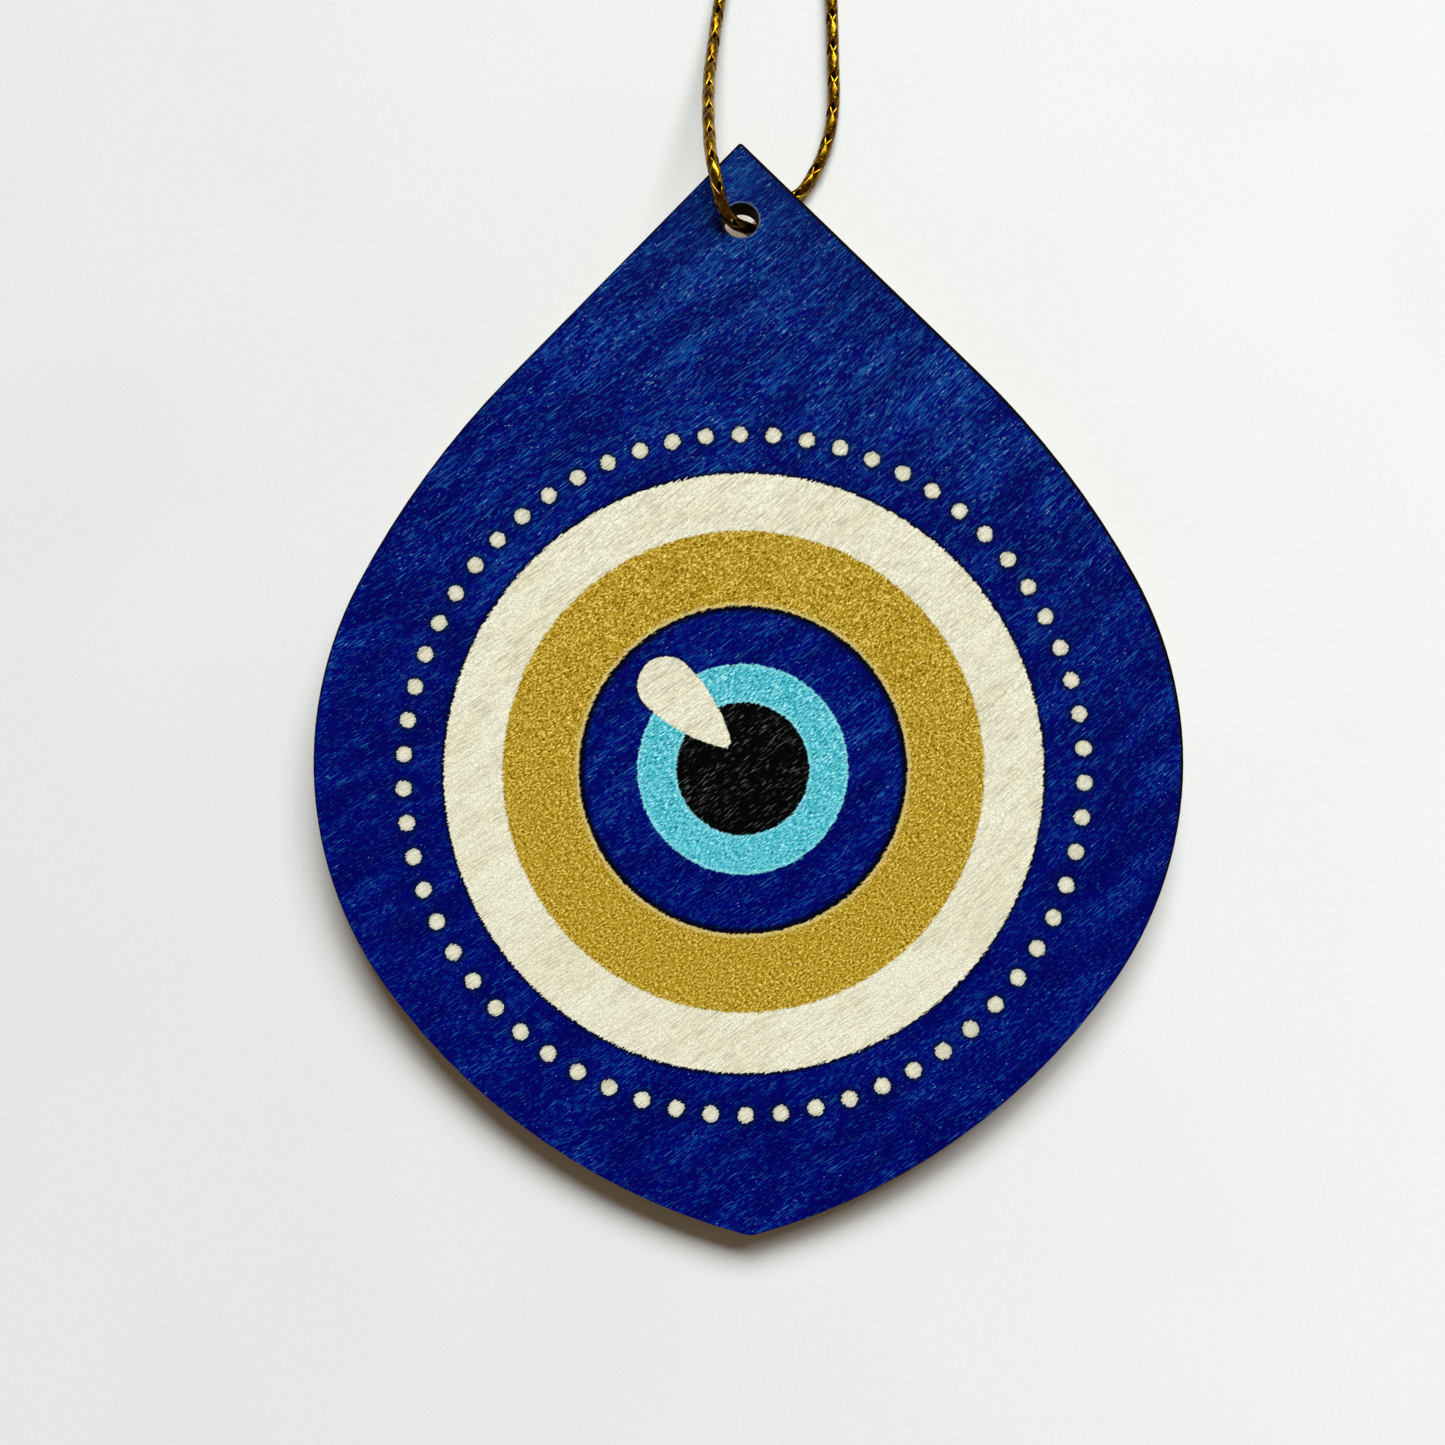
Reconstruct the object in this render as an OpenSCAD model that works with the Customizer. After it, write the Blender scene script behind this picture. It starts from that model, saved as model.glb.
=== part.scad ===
// Evil eye ornament: a drop-shaped plywood plaque, printed with an eye and hung on a gold cord.
// Millimetres, +Z up. The plaque lies face up on a surface at z = 0, with its point and its
// hanging hole towards +Y. The cord bends up through the hole from under the plaque, and this
// bend holds that end off the surface.

/* [Plaque outline] */
// Radius of the rounded point at the top
point_r = 0.3; // [0.3:0.1:2]
// Slope of the straight flanks below the point, in degrees under the horizontal
flank_angle = 45.75; // [43:0.25:48]
// Length of each straight flank
flank_len = 28.35; // [26:0.05:30]
// Radius of the gentle shoulder under each flank
shoulder_r = 73.7; // [66:0.1:80]
// How far each shoulder turns, in degrees
shoulder_turn = 17.05; // [15:0.05:19]
// Radius of the round sides
side_r = 32; // [30:0.5:34]
// How far each side turns, in degrees
side_turn = 63.5; // [60:0.5:66]
// Radius of the lower edges
lower_r = 54; // [48:0.5:60]
// Radius of the blunt tip at the bottom
tip_r = 2; // [1:0.1:4]

/* [Plywood and ink] */
// Thickness of the back veneer
back_ply_t = 0.7; // [0.5:0.05:1]
// Thickness of the core veneer
core_ply_t = 1; // [0.8:0.05:1.6]
// Thickness of the face veneer
face_ply_t = 0.7; // [0.5:0.05:1]
// Thickness of the printed ink
ink_t = 0.1; // [0.05:0.01:0.2]

/* [Hanging hole] */
// Diameter of the hole for the cord
hole_d = 3.1; // [2.8:0.1:3.6]
// Distance from the point down to the middle of the hole
hole_drop = 6.8; // [6:0.1:7.5]

/* [Printed eye] */
// Distance from the point down to the middle of the eye
eye_drop = 54; // [53:0.1:55]
// How far the print sits to the right of the plaque's middle line
eye_shift = -0.3; // [-0.5:0.05:0.5]
// Radius of the black pupil
pupil_r = 5.55; // [5:0.05:6]
// Outer radius of the turquoise ring
turquoise_r = 8.8; // [8.5:0.05:9.2]
// Outer radius of the dark blue iris
iris_r = 13.7; // [13:0.05:14.2]
// Outer radius of the gold ring
gold_r = 20.1; // [19:0.1:21]
// Outer radius of the ivory ring
ivory_r = 25; // [24:0.05:26]
// Radius of the ring of small dots
dot_ring_r = 28.4; // [27.5:0.1:29.5]
// Number of small dots
dot_count = 62; // [50:1:64]
// Diameter of one dot
dot_d = 1.3; // [1:0.05:1.6]

/* [Highlight] */
// Radius of the highlight's round end
highlight_r = 2.4; // [2:0.05:2.8]
// Distance from the eye's middle to the middle of the round end
highlight_offset = 9.5; // [9:0.05:10]
// Direction of the round end seen from the eye's middle, in degrees
highlight_bearing = 132; // [120:0.5:150]
// Direction in which the highlight tapers, in degrees
highlight_aim = -44.5; // [-50:0.5:-40]
// Radius of its two curved sides
highlight_side_r = 13.7; // [13.2:0.1:15]
// Length of the tapering part, from its widest place to its blunt tip
highlight_len = 7.35; // [6.8:0.05:7.5]

/* [Cord] */
// Diameter of the metallic cord
cord_d = 1.1; // [0.8:0.1:1.1]
// Length of the knot that closes the loop
knot_len = 4.8; // [4:0.1:6]
// Diameter of the knot
knot_d = 3.6; // [3.2:0.1:4]
// Length of each free tail beyond the knot
tail_len = 7; // [3:0.5:10]

/* [Lie on the surface] */
// Tilt of the plaque, whose hole end rests on the cord, in degrees
lift_angle = 2; // [1.9:0.05:2.2]

/* [Hidden] */
$fn = 64;

board_t = back_ply_t + core_ply_t + face_ply_t;

// One arc of the right-hand edge. The heading is the slope under the horizontal at its start.
function arc_end(p, heading, r, turn) =
    p + r * [sin(heading + turn) - sin(heading), cos(heading + turn) - cos(heading)];
function arc_points(p, heading, r, turn, steps) =
    [for (i = [1:steps]) arc_end(p, heading, r, turn * i / steps)];

// The right-hand edge as headings and corner points, from the top of the point at [0, 0].
side_heading = flank_angle + shoulder_turn;
lower_heading = side_heading + side_turn;
flank_start = arc_end([0, 0], 0, point_r, flank_angle);
flank_end = flank_start + flank_len * [cos(flank_angle), -sin(flank_angle)];
shoulder_end = arc_end(flank_end, flank_angle, shoulder_r, shoulder_turn);
side_end = arc_end(shoulder_end, side_heading, side_r, side_turn);
// The lower edge turns until the tip's arc can close on the middle line.
tip_heading = 180 - asin((lower_r * sin(lower_heading) - side_end[0]) / (lower_r - tip_r));
tip_start = arc_end(side_end, lower_heading, lower_r, tip_heading - lower_heading);
tip_end = arc_end(tip_start, tip_heading, tip_r, 180 - tip_heading);
plaque_h = -tip_end[1];
point_y = plaque_h / 2;

right_edge = concat(
    arc_points([0, 0], 0, point_r, flank_angle, 6),
    [flank_end],
    arc_points(flank_end, flank_angle, shoulder_r, shoulder_turn, 8),
    arc_points(shoulder_end, side_heading, side_r, side_turn, 26),
    arc_points(side_end, lower_heading, lower_r, tip_heading - lower_heading, 14),
    arc_points(tip_start, tip_heading, tip_r, 180 - tip_heading, 4));
edge_count = len(right_edge);
left_edge = [for (i = [edge_count - 2:-1:0]) [-right_edge[i][0], right_edge[i][1]]];
outline = [for (p = concat([[0, 0]], right_edge, left_edge)) p + [0, point_y]];

// Places in the plaque's own frame: its middle at [0, 0] and its back face at z = 0.
hole_at = [0, point_y - hole_drop];
eye_at = [eye_shift, point_y - eye_drop];
highlight_at = eye_at + highlight_offset * [cos(highlight_bearing), sin(highlight_bearing)];

// The cord's route over the surface: from the knot under the plaque, up through the hole,
// over the face and back to the knot. It stands on z = 0 wherever it isn't on the plaque.
route = [
    [4.9, 111.5, 1.3], [5, 108.5, 0.8], [5.3, 104, 0.55], [5.8, 98, 0.55],
    [6.4, 91, 0.55], [7.1, 84, 0.55], [7.7, 77, 0.55], [8.15, 69.5, 0.55],
    [8.4, 61.99, 0.55], [8.45, 56.47, 0.55], [8.44, 52.64, 0.55], [7.98, 49.31, 0.55],
    [6.99, 46.48, 0.55], [5.57, 44.14, 0.55], [3.74, 42.69, 0.58], [2.3, 41.62, 0.58],
    [1.56, 40.78, 0.91], [1.14, 40.1, 1.46], [0.93, 39.56, 2.22], [0.8, 39.14, 3.37],
    [0.4, 38.86, 4.33], [-0.45, 38.78, 5.34], [-1.13, 39.13, 6.13], [-1.62, 39.89, 6.8],
    [-1.92, 40.99, 7.21], [-2.1, 42.11, 7.25], [-2.41, 43.51, 7.12], [-2.57, 44.84, 6.6],
    [-2.76, 48.34, 5.2], [-2.74, 53.2, 3.2], [-2.3, 57.86, 1.75], [-1.79, 61.96, 0.9],
    [-0.75, 67.5, 0.58], [0.3, 73, 0.55], [1.2, 79, 0.55], [2, 85.5, 0.55],
    [2.7, 92, 0.55], [3.2, 98.5, 0.55], [3.6, 104, 0.55], [3.8, 108.5, 0.8],
    [3.9, 111.5, 1.3]];
rings_per_span = 2;
cord_sides = 8;
// A direction that no stretch of the cord runs along, from which its rings are set square.
ring_reference = [1, -0.3, 0];

// A smooth curve through the route's points at t from 0 to 1 in span i. It never sinks into
// the surface.
function route_at(i) = route[max(0, min(len(route) - 1, i))];
function smooth_at(i, t) = let (a = route_at(i - 1), b = route_at(i), c = route_at(i + 1),
    d = route_at(i + 2)) 0.5 * (2 * b + (c - a) * t + (2 * a - 5 * b + 4 * c - d) * t * t
    + (3 * b - a - 3 * c + d) * t * t * t);
function on_curve(i, t) = let (p = smooth_at(i, t)) [p[0], p[1], max(p[2], cord_d / 2)];
function curve_points() = concat(
    [for (i = [0:len(route) - 2], k = [0:rings_per_span - 1]) on_curve(i, k / rings_per_span)],
    [route[len(route) - 1]]);
function unit(v) = v / norm(v);
function direction(points, i) =
    unit(points[min(i + 1, len(points) - 1)] - points[max(i - 1, 0)]);
function ring(centre, along) = let (u = unit(cross(along, ring_reference)), v = cross(along, u))
    [for (k = [0:cord_sides - 1]) let (a = 360 * k / cord_sides)
        centre + cord_d / 2 * (cos(a) * u + sin(a) * v)];

knot_at = [4.4, 113, knot_d / 2];
knot_end_r = 0.5 * knot_d / 2;

// Lays the plaque on its bottom edge, with the hole end raised by lift_angle.
module laid() {
    translate([0, -plaque_h / 2, 0])
        rotate([lift_angle, 0, 0])
            translate([0, plaque_h / 2, 0])
                children();
}

// One layer of the plaque, between two heights, with the hanging hole through it.
module layer(z, t) {
    laid()
        difference() {
            translate([0, 0, z])
                linear_extrude(t)
                    polygon(outline);
            translate([hole_at[0], hole_at[1], z - 1])
                cylinder(d = hole_d, h = t + 2);
        }
}

// A flat round area of ink.
module disc(r, extra = 0) {
    translate([eye_at[0], eye_at[1], board_t - extra])
        cylinder(r = r, h = ink_t + 2 * extra);
}

// The highlight's shape: a round end that tapers between two arcs to a blunt tip.
module highlight_shape(extra = 0) {
    lens_offset = highlight_side_r - highlight_r;
    translate([highlight_at[0], highlight_at[1], board_t - extra])
        rotate([0, 0, highlight_aim]) {
            cylinder(r = highlight_r, h = ink_t + 2 * extra);
            intersection() {
                translate([0, lens_offset, 0])
                    cylinder(r = highlight_side_r, h = ink_t + 2 * extra);
                translate([0, -lens_offset, 0])
                    cylinder(r = highlight_side_r, h = ink_t + 2 * extra);
                translate([0, -highlight_r - 1, 0])
                    cube([highlight_len, 2 * highlight_r + 2, ink_t + 2 * extra]);
            }
        }
}

module dots(extra = 0) {
    for (i = [0:dot_count - 1])
        let (a = 90 + 360 * i / dot_count)
            translate([eye_at[0] + dot_ring_r * cos(a), eye_at[1] + dot_ring_r * sin(a),
                board_t - extra])
                cylinder(d = dot_d, h = ink_t + 2 * extra);
}

// A ring of ink, with the highlight left out where it crosses it.
module ink_ring(outer_r, inner_r) {
    laid()
        difference() {
            disc(outer_r);
            disc(inner_r, 1);
            highlight_shape(1);
        }
}

module back_ply() {
    color("burlywood") layer(0, back_ply_t);
}

module core_ply() {
    color("peru") layer(back_ply_t, core_ply_t);
}

module face_ply() {
    color("burlywood") layer(back_ply_t + core_ply_t, face_ply_t);
}

module blue_ground() {
    color("mediumblue")
        difference() {
            layer(board_t, ink_t);
            laid() {
                disc(ivory_r, 1);
                dots(1);
            }
        }
}

module ivory_dots() {
    color("ivory") laid() dots();
}

module ivory_ring() {
    color("ivory") ink_ring(ivory_r, gold_r);
}

module gold_ring() {
    color("goldenrod") ink_ring(gold_r, iris_r);
}

module iris() {
    color("navy") ink_ring(iris_r, turquoise_r);
}

module turquoise_ring() {
    color("mediumturquoise") ink_ring(turquoise_r, pupil_r);
}

module pupil() {
    color("black")
        laid()
            difference() {
                disc(pupil_r);
                highlight_shape(1);
            }
}

module highlight() {
    color("ivory") laid() highlight_shape();
}

module hang_cord() {
    points = curve_points();
    count = len(points);
    skin = [for (i = [0:count - 2], k = [0:cord_sides - 1]) let (n = (k + 1) % cord_sides)
        [i * cord_sides + k, i * cord_sides + n, (i + 1) * cord_sides + n, (i + 1) * cord_sides + k]];
    first_cap = [for (k = [cord_sides - 1:-1:0]) k];
    last_cap = [for (k = [0:cord_sides - 1]) (count - 1) * cord_sides + k];
    color("darkgoldenrod")
        polyhedron(
            points = [for (i = [0:count - 1]) each ring(points[i], direction(points, i))],
            faces = concat([first_cap], skin, [last_cap]));
}

// The knot is a barrel round both ends of the cord, with the two tails lying beyond it.
module cord_knot() {
    tail_z = cord_d / 2;
    color("darkgoldenrod") {
        translate(knot_at)
            rotate([90, 0, 0])
                rotate_extrude()
                    polygon([for (i = [-8:8]) let (s = i / 8)
                        [knot_end_r + (knot_d / 2 - knot_end_r) * sqrt(1 - s * s), s * knot_len / 2],
                        [0, knot_len / 2], [0, -knot_len / 2]]);
        for (side = [-1, 1])
            translate([knot_at[0] + side * cord_d * 0.6, knot_at[1], tail_z])
                rotate([-90, 0, -side * 8])
                    cylinder(d = cord_d, h = knot_len / 2 + tail_len);
    }
}

back_ply();
core_ply();
face_ply();
blue_ground();
ivory_dots();
ivory_ring();
gold_ring();
iris();
turquoise_ring();
pupil();
highlight();
hang_cord();
cord_knot();
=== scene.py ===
# %% [markdown]
# # Evil eye ornament
#
# A drop-shaped plaque of thin plywood lies face up on a pale surface. It is printed with an
# evil eye, and a braided metallic cord runs through the hole at its point. The cord goes under
# the plaque on the right, comes up through the hole and runs back over the face on the left.
#
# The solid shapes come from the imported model, so this lesson is about three things: the cord,
# which is braided from real strands, the finishes of wood and ink, and the light.

# %% Load the frame
import math

import bpy
import numpy as np
from mathutils import Matrix, Vector


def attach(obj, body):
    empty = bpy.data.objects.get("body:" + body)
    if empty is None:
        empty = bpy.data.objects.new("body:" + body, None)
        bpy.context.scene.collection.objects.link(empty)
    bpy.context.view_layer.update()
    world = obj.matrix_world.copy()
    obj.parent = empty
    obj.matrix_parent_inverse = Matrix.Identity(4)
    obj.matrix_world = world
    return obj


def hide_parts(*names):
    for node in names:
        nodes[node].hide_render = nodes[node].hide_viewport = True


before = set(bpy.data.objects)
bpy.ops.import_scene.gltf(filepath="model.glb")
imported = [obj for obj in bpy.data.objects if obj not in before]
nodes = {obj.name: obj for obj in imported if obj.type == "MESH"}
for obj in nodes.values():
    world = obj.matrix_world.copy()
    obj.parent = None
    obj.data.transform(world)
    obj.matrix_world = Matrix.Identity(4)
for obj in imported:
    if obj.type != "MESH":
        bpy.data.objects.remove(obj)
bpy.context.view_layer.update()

MM = 0.001
print("nodes:", ", ".join(sorted(nodes)))

# %% [markdown]
# ## Camera
#
# The camera looks almost straight down. It could be aimed with a Track To constraint, but three
# directions written out as a matrix say exactly how it leans, so that is the way used here.

# %% Camera over the plaque
CAMERA_AT = Vector((0.12, -18.27, 125.24)) * MM
CAMERA_LOOK = Vector((-0.01698, 0.11476, -0.99325)).normalized()
CAMERA_UP = Vector((0.0094, 0.9934, 0.1146))
CAMERA_LENS, CAMERA_SENSOR = 36.37, 36.0


def look_matrix(place, look, up):
    """A camera's matrix from its place, the way it looks and roughly where up is."""
    right = look.cross(up).normalized()
    true_up = right.cross(look)
    turn = Matrix((right, true_up, -look)).transposed()
    return Matrix.Translation(place) @ turn.to_4x4()


camera_data = bpy.data.cameras.new("table_camera")
camera_data.sensor_width = CAMERA_SENSOR
camera_data.lens = CAMERA_LENS
camera_data.clip_start = 0.005
camera_data.clip_end = 20.0
camera = bpy.data.objects.new("table_camera", camera_data)
camera.matrix_world = look_matrix(CAMERA_AT, CAMERA_LOOK, CAMERA_UP)
bpy.context.scene.collection.objects.link(camera)
bpy.context.scene.camera = camera
print("camera height above the surface:", round(CAMERA_AT.z * 1000, 1), "mm")

# %% [markdown]
# ## The cord's route
#
# The route is written as the points that the cord passes, in millimetres, and a Catmull-Rom
# curve runs smoothly through them. A Bezier curve would do as well, but its handles would have
# to be placed too. The first point is in the knot, the cord then runs over the surface, under
# the plaque, up through the hole, over the face and back to the knot.

# %% Route points
CORD_D = 1.1
CORD_STEP = 0.12
CORD_ROUTE = (
    (4.9, 111.5, 1.3), (5, 108.5, 0.8), (5.3, 104, 0.55), (5.8, 98, 0.55),
    (6.4, 91, 0.55), (7.1, 84, 0.55), (7.7, 77, 0.55), (8.15, 69.5, 0.55),
    (8.4, 61.99, 0.55), (8.45, 56.47, 0.55), (8.44, 52.64, 0.55), (7.98, 49.31, 0.55),
    (6.99, 46.48, 0.55), (5.57, 44.14, 0.55), (3.74, 42.69, 0.58), (2.3, 41.62, 0.58),
    (1.56, 40.78, 0.91), (1.14, 40.1, 1.46), (0.93, 39.56, 2.22), (0.8, 39.14, 3.37),
    (0.4, 38.86, 4.33), (-0.45, 38.78, 5.34), (-1.13, 39.13, 6.13), (-1.62, 39.89, 6.8),
    (-1.92, 40.99, 7.21), (-2.1, 42.11, 7.25), (-2.41, 43.51, 7.12), (-2.57, 44.84, 6.6),
    (-2.76, 48.34, 5.2), (-2.74, 53.2, 3.2), (-2.3, 57.86, 1.75), (-1.79, 61.96, 0.9),
    (-0.75, 67.5, 0.58), (0.3, 73, 0.55), (1.2, 79, 0.55), (2, 85.5, 0.55),
    (2.7, 92, 0.55), (3.2, 98.5, 0.55), (3.6, 104, 0.55), (3.8, 108.5, 0.8),
    (3.9, 111.5, 1.3),
)


def rest_on_surface(line):
    """Lifts a line in place, so that a cord along it lies on the surface, not in it."""
    line[:, 2] = np.maximum(line[:, 2], CORD_D / 2)


def smooth_route(points, steps=12):
    """Points along a Catmull-Rom curve through the given ones, with some steps to each span."""
    p = np.array(points, float)
    p = np.vstack([p[:1], p, p[-1:]])
    t = np.arange(steps)[:, None] / steps
    spans = []
    for i in range(len(points) - 1):
        a, b, c, d = p[i:i + 4]
        spans.append(0.5 * (2 * b + (c - a) * t + (2 * a - 5 * b + 4 * c - d) * t ** 2
                            + (3 * b - a - 3 * c + d) * t ** 3))
    return np.vstack(spans + [p[-1:]])


def even_steps(curve, step):
    """The same line with its points a step apart, and how far along it each one is."""
    gaps = np.linalg.norm(np.diff(curve, axis=0), axis=1)
    along = np.concatenate([[0], np.cumsum(gaps)])
    count = max(2, round(along[-1] / step)) + 1
    places = np.linspace(0, along[-1], count)
    return np.stack([np.interp(places, along, curve[:, k]) for k in range(3)], 1), places


route_curve = smooth_route(CORD_ROUTE)
rest_on_surface(route_curve)
cord_line, cord_along = even_steps(route_curve, CORD_STEP)

# %% [markdown]
# ## Braiding the cord
#
# Metallic cord is braided from flat gold ribbons. A bump map on a tube could hint at that, but
# the edge of so thin a cord would stay smooth, so each ribbon is real geometry. Two ribbons wind
# one way and two the other, and each one moves out and in as it passes over and under.

# %% Braid builder
BRAID_PITCH = 6.0
RIBBON_SIDES = 8
RIBBON_REACH, RIBBON_SWELL = 0.33, 0.06
RIBBON_WIDTH, RIBBON_THICKNESS = 0.92, 0.32


def carried_frames(line):
    """Two directions square to the line at each point, carried along it without twist."""
    along = np.gradient(line, axis=0)
    along /= np.linalg.norm(along, axis=1, keepdims=True)
    side = np.zeros_like(along)
    start = np.cross(along[0], (0.0, 0.0, 1.0))
    side[0] = start / np.linalg.norm(start)
    for i in range(1, len(line)):
        moved = side[i - 1] - along[i] * np.dot(side[i - 1], along[i])
        side[i] = moved / np.linalg.norm(moved)
    return along, side, np.cross(along, side)


def ribbon(line, places, phase, way):
    """The corner points and faces of one ribbon that winds round the line."""
    _, side, other = carried_frames(line)
    turn = phase + way * 2 * np.pi * places / BRAID_PITCH
    out = np.cos(turn)[:, None] * side + np.sin(turn)[:, None] * other
    radius = RIBBON_REACH + way * RIBBON_SWELL * np.cos(4 * np.pi * places / BRAID_PITCH)
    middle = line + radius[:, None] * out
    run = np.gradient(middle, axis=0)
    run /= np.linalg.norm(run, axis=1, keepdims=True)
    across = np.cross(run, out)
    across /= np.linalg.norm(across, axis=1, keepdims=True)
    up = np.cross(across, run)
    angle = 2 * np.pi * np.arange(RIBBON_SIDES) / RIBBON_SIDES
    ring = (np.cos(angle)[None, :, None] * across[:, None, :] * RIBBON_WIDTH / 2
            + np.sin(angle)[None, :, None] * up[:, None, :] * RIBBON_THICKNESS / 2)
    corners = (middle[:, None, :] + ring).reshape(-1, 3)
    i = np.arange(len(line) - 1)[:, None] * RIBBON_SIDES
    k = np.arange(RIBBON_SIDES)[None, :]
    n = (k + 1) % RIBBON_SIDES
    faces = np.stack([i + k, i + n, i + RIBBON_SIDES + n, i + RIBBON_SIDES + k], -1)
    return corners, faces.reshape(-1, 4)


def mesh_piece(name, parts):
    """One mesh object, in metres, from lists of corner points in mm and faces."""
    corners, faces, start = [], [], 0
    for part_corners, part_faces in parts:
        corners.append(part_corners)
        faces.append(part_faces + start)
        start += len(part_corners)
    mesh = bpy.data.meshes.new(name)
    mesh.from_pydata((np.vstack(corners) * MM).tolist(), [], np.vstack(faces).tolist())
    mesh.polygons.foreach_set("use_smooth", np.ones(len(mesh.polygons), bool))
    mesh.update()
    piece = bpy.data.objects.new(name, mesh)
    bpy.context.scene.collection.objects.link(piece)
    return piece


def braid_parts(line, places):
    """The four ribbons of a braid round a line."""
    return [ribbon(line, places, phase, way) for way in (1, -1) for phase in (0.0, np.pi)]


# %% The braided cord
hang_cord = mesh_piece("braided_cord", braid_parts(cord_line, cord_along))
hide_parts("hang_cord")
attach(hang_cord, "hang_loop")
print("braided cord faces:", len(hang_cord.data.polygons))

# %% [markdown]
# ## The knot
#
# Both ends of the cord are tied together and their tails stick out. The knot is braided too: the
# two ends run through the middle side by side, and a little over two turns wind round them.

# %% The tied knot
KNOT_AT = np.array((4.4, 113.0, 1.8))
WRAP_STEPS, WRAP_STEPS_PER_TURN = 26, 12
WRAP_LEN, WRAP_R, WRAP_END_R = 3.0, 1.22, 0.75


def knot_lines():
    """The lines that the cord follows in the knot: two ends with tails, and the turns."""
    lines = []
    for way in (-1, 1):
        lines.append(((way * -0.5, -1.9, -0.35), (way * -0.45, -0.9, -0.1), (way * 0.1, 0, 0.1),
                      (way * 0.55, 1.2, -0.1), (way * 0.62, 2.4, -0.75),
                      (way * 0.9, 3.6, -1.2), (way * 1.4, 6, -1.25), (way * 1.7, 9.2, -1.25)))
    turns = []
    for i in range(WRAP_STEPS + 1):
        turn = 2 * math.pi * (i / WRAP_STEPS_PER_TURN - 0.25)
        spread = WRAP_R if 1 < i < WRAP_STEPS - 1 else WRAP_END_R
        turns.append((spread * math.cos(turn), -WRAP_LEN / 2 + WRAP_LEN * i / WRAP_STEPS,
                      spread * math.sin(turn)))
    lines.append(turns)
    return lines


knot_parts = []
for points in knot_lines():
    line, places = even_steps(smooth_route(points, 8), CORD_STEP)
    line = line + KNOT_AT
    rest_on_surface(line)
    knot_parts += braid_parts(line, places)
knot = mesh_piece("tied_knot", knot_parts)
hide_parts("cord_knot")
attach(knot, "hang_loop")
print("knot faces:", len(knot.data.polygons))

# %% [markdown]
# ## A helper for building materials
#
# Every finish here is a network of nodes. Written out node by node, such a network is long, so a
# small helper adds a node and joins its inputs in one call. It has a call for each thing that the
# finishes do often, such as noise stretched along the fibres or a mask at a border.

# %% Node helper
CRISP = 0.03


def shade(red, green, blue):
    """A colour as it looks on a screen, 0 to 255, turned into the linear value nodes use."""
    def linear(v):
        v /= 255
        return v / 12.92 if v <= 0.04045 else ((v + 0.055) / 1.055) ** 2.4
    return (linear(red), linear(green), linear(blue), 1.0)


class Net:
    """Adds nodes to a node tree and joins them."""

    def __init__(self, tree):
        self.tree = tree

    def put(self, socket, value):
        if isinstance(value, bpy.types.NodeSocket):
            self.tree.links.new(value, socket)
        elif value is not None:
            socket.default_value = value

    def node(self, kind, inputs=(), **settings):
        made = self.tree.nodes.new(kind)
        for key, value in settings.items():
            setattr(made, key, value)
        for key, value in dict(inputs).items():
            self.put(made.inputs[key], value)
        return made

    def math(self, operation, *values):
        made = self.tree.nodes.new("ShaderNodeMath")
        made.operation = operation
        for socket, value in zip(made.inputs, values):
            self.put(socket, value)
        return made.outputs[0]

    def mix(self, factor, first, second, blend="MIX"):
        made = self.tree.nodes.new("ShaderNodeMix")
        made.data_type = "RGBA"
        made.blend_type = blend
        self.put(made.inputs[0], factor)
        self.put(made.inputs[6], first)
        self.put(made.inputs[7], second)
        return made.outputs[2]

    def step(self, value, low, high, to_low=0.0, to_high=1.0):
        """A smooth step from to_low at low to to_high at high."""
        made = self.tree.nodes.new("ShaderNodeMapRange")
        made.interpolation_type = "SMOOTHSTEP"
        for socket, part in zip(made.inputs, (value, low, high, to_low, to_high)):
            self.put(socket, part)
        return made.outputs[0]

    def within(self, distance, blur=CRISP):
        """A mask that is 1 inside a border, where the distance is negative, and 0 outside."""
        return self.step(distance, -blur, blur, 1.0, 0.0)

    def beyond(self, distance, blur=CRISP):
        """A mask that is 0 inside a border and 1 outside."""
        return self.step(distance, -blur, blur)

    def noise(self, place, scale, detail=2.0, rough=0.5):
        made = self.node("ShaderNodeTexNoise", {"Vector": place, "Scale": scale,
                                                "Detail": detail, "Roughness": rough})
        return made.outputs[0]

    def stretched(self, place, stretch, detail, rough=0.5):
        """Noise with its own number of grains to a millimetre in each direction."""
        return self.noise(self.vector("MULTIPLY", place, stretch), 1.0, detail, rough)

    def place_mm(self):
        """The place on the object, in millimetres."""
        here = self.node("ShaderNodeTexCoord").outputs["Object"]
        return self.vector("MULTIPLY", here, (1000, 1000, 1000))

    def parts(self, vector):
        return self.node("ShaderNodeSeparateXYZ", {0: vector}).outputs

    def turned(self, vector, angle):
        """A vector turned about +Z."""
        made = self.node("ShaderNodeVectorRotate", {"Vector": vector, "Angle": angle},
                         rotation_type="Z_AXIS")
        return made.outputs[0]

    def bump(self, height, strength, depth):
        """A normal with relief of a depth in millimetres."""
        made = self.node("ShaderNodeBump", {"Strength": strength, "Distance": depth * MM,
                                            "Height": height})
        return made.outputs[0]

    def vector(self, operation, first, second=None):
        made = self.tree.nodes.new("ShaderNodeVectorMath")
        made.operation = operation
        self.put(made.inputs[0], first)
        self.put(made.inputs[1], second)
        return made.outputs["Value"] if operation in ("LENGTH", "DISTANCE") else made.outputs[0]


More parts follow.
